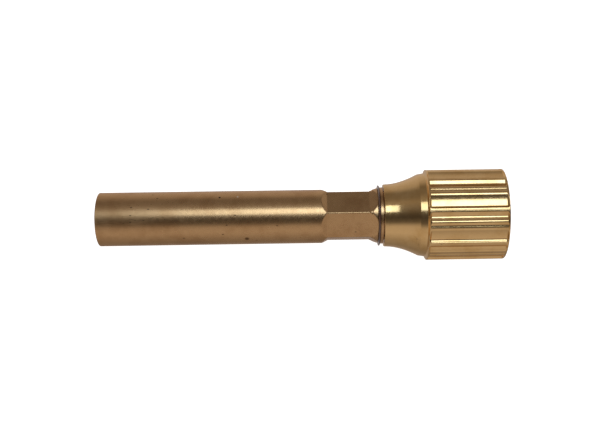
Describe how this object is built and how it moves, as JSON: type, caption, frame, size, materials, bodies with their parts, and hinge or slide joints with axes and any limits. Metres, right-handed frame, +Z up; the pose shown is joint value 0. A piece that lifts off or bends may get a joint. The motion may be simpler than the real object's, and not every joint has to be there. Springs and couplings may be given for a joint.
{
  "type": "spectroscope",
  "caption": "Hand-held direct-vision spectroscope: a long brass tube with wrench flats and a flared, fluted head that turns to set the slit, and a sliding eyepiece.",
  "frame": {"origin": "on the optical axis, half way along the instrument, which is the centre of its bounding box with the eyepiece pushed in", "axes": "+X along the optical axis towards the slit end; +Z up through one corner of the wrench hexagon, so that two flats face +Y and -Y"},
  "size_m": [0.1504, 0.0338, 0.0338],
  "materials": {
    "tube_brass": "fine-turned and worn, satin, slightly bronzed",
    "head_brass": "turned and brightly polished, golden",
    "blackened_brass": "chemically blackened, matt",
    "steel": "fine ground",
    "rubber": "smooth, slightly greased",
    "crown_glass": "polished optical glass",
    "flint_glass": "polished optical glass, faintly straw coloured",
    "cork": "sheet cork",
    "felt": "thin wool felt"
  },
  "bodies": {
    "barrel": {"main_tube": "tube_brass", "draw_tube_liner": "felt", "crown_prism_rear": "crown_glass", "flint_prism_rear": "flint_glass", "crown_prism_middle": "crown_glass", "flint_prism_front": "flint_glass", "crown_prism_front": "crown_glass", "prism_cell": "blackened_brass", "prism_cork_pad": "cork", "prism_leaf_spring": "steel", "prism_retaining_ring": "blackened_brass", "collimator_cell": "blackened_brass", "collimator_crown_lens": "crown_glass", "collimator_flint_lens": "flint_glass", "collimator_retaining_ring": "blackened_brass", "baffle_rear": "blackened_brass", "baffle_front": "blackened_brass", "slit_base": "blackened_brass", "jaw_guide_upper": "blackened_brass", "jaw_guide_lower": "blackened_brass", "guide_screw_1": "steel", "guide_screw_2": "steel", "guide_screw_3": "steel", "guide_screw_4": "steel", "head_o_ring": "rubber", "thrust_washer": "steel", "head_retaining_ring": "tube_brass"},
    "head": {"head_shell": "head_brass", "slit_cam_plate": "blackened_brass", "cam_screw_1": "steel", "cam_screw_2": "steel", "cam_screw_3": "steel", "window_spacer": "blackened_brass", "slit_window": "crown_glass", "window_seal_ring": "rubber", "window_retaining_ring": "head_brass"},
    "jaw_left": {"slit_jaw_left": "steel", "jaw_pin_left": "steel"},
    "jaw_right": {"slit_jaw_right": "steel", "jaw_pin_right": "steel"},
    "eyepiece": {"eyepiece_tube": "tube_brass", "eye_cap": "tube_brass", "eye_lens": "crown_glass", "eye_lens_retainer": "blackened_brass"}
  },
  "joints": [
    {"name": "head_turn", "type": "hinge", "parent": "barrel", "child": "head", "pos_m": [0, 0, 0], "axis": [1, 0, 0], "range_deg": [0, 120]},
    {"name": "jaw_left_slide", "type": "slide", "parent": "barrel", "child": "jaw_left", "axis": [0, -1, 0], "range_m": [0, 0.0006]},
    {"name": "jaw_right_slide", "type": "slide", "parent": "barrel", "child": "jaw_right", "axis": [0, 1, 0], "range_m": [0, 0.0006]},
    {"name": "eyepiece_draw", "type": "slide", "parent": "barrel", "child": "eyepiece", "axis": [-1, 0, 0], "range_m": [0, 0.012]}
  ],
  "couplings": [
    {"joint": "jaw_left_slide", "follows": "head_turn", "m_per_rad": 0.0002864},
    {"joint": "jaw_right_slide", "follows": "head_turn", "m_per_rad": 0.0002864}
  ]
}
